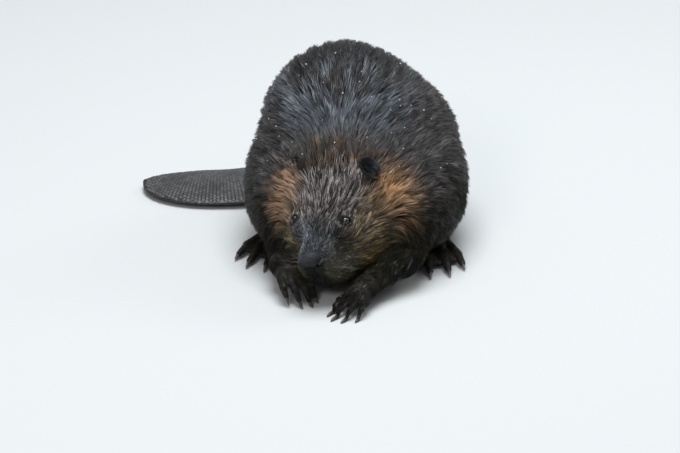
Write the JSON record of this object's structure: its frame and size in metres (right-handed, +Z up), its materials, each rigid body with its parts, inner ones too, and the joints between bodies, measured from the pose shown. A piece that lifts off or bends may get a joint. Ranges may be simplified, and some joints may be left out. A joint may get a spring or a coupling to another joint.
{
  "type": "beaver",
  "caption": "Life-size beaver crouched over its food, head low and turned, forepaws together under the chin, flat scaly tail swept to one side.",
  "frame": {"origin": "middle of the flat under the belly, on the floor", "axes": "+Z up, -Y the way the beaver faces, +X its left side"},
  "size_m": [0.4542, 0.4759, 0.2576],
  "materials": {
    "coat": "wet guard hair in pointed clumps, dark grey-brown with a cool grey bloom",
    "face_coat": "shorter hair, silver-grey over black on the forehead, tawny brown on the cheeks and neck",
    "limb_coat": "short dark brown-black hair lying along the limb",
    "ear_skin": "thin dark blue-grey skin with fine short hair at the rim",
    "nose_skin": "black pebbled bare skin, slightly damp",
    "eye": "glossy near-black eye",
    "paw_skin": "dark wrinkled skin, thin hair above, horn-coloured claws joined to the toes",
    "tail_skin": "dark grey leathery scales"
  },
  "bodies": {
    "root": {"trunk": "coat", "neck": "face_coat", "head": "face_coat", "nose": "nose_skin", "ear_left": "ear_skin", "ear_right": "ear_skin", "eye_left": "eye", "eye_right": "eye", "forearm_left": "limb_coat", "forearm_right": "limb_coat", "forepaw_left": "paw_skin", "forepaw_right": "paw_skin", "thigh_left": "coat", "thigh_right": "coat", "hindfoot_left": "paw_skin", "hindfoot_right": "paw_skin", "tail_base": "coat", "tail_blade": "tail_skin"}
  },
  "joints": []
}
